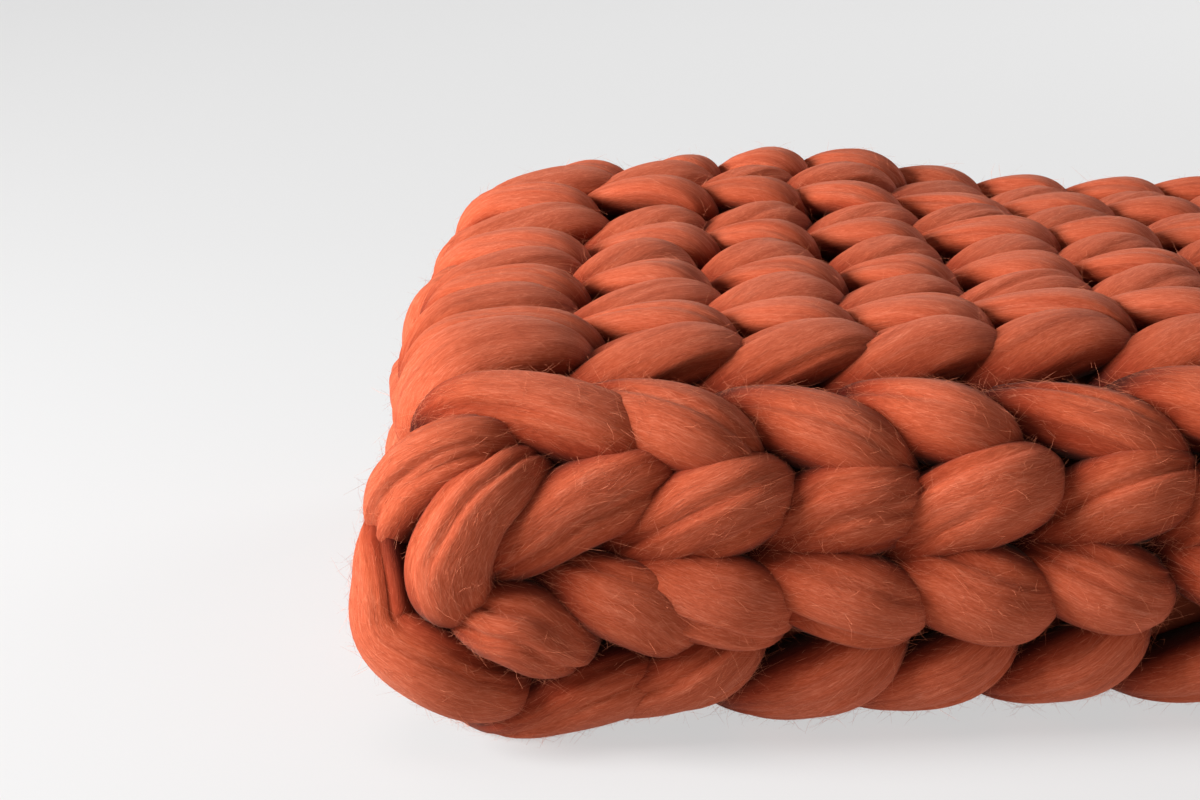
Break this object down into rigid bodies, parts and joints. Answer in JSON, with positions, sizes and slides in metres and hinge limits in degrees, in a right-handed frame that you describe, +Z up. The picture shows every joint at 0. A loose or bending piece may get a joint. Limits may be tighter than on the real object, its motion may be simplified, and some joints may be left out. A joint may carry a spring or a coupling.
{
  "type": "folded chunky knit blanket",
  "caption": "Super-chunky stocking-stitch wool blanket, folded across its stitch columns and then along them into a soft rectangular stack with rounded fold edges",
  "frame": {"origin": "middle of the underside, on the surface that the blanket lies on", "axes": "+X along the stitch columns towards the free ends, -X the first fold, -Y the second fold (the front), +Y the selvedges, +Z up"},
  "size_m": [0.5238, 0.4574, 0.1632],
  "materials": {
    "wool": "matte unspun roving"
  },
  "bodies": {
    "root": {"knit_blanket": "wool"}
  },
  "joints": []
}
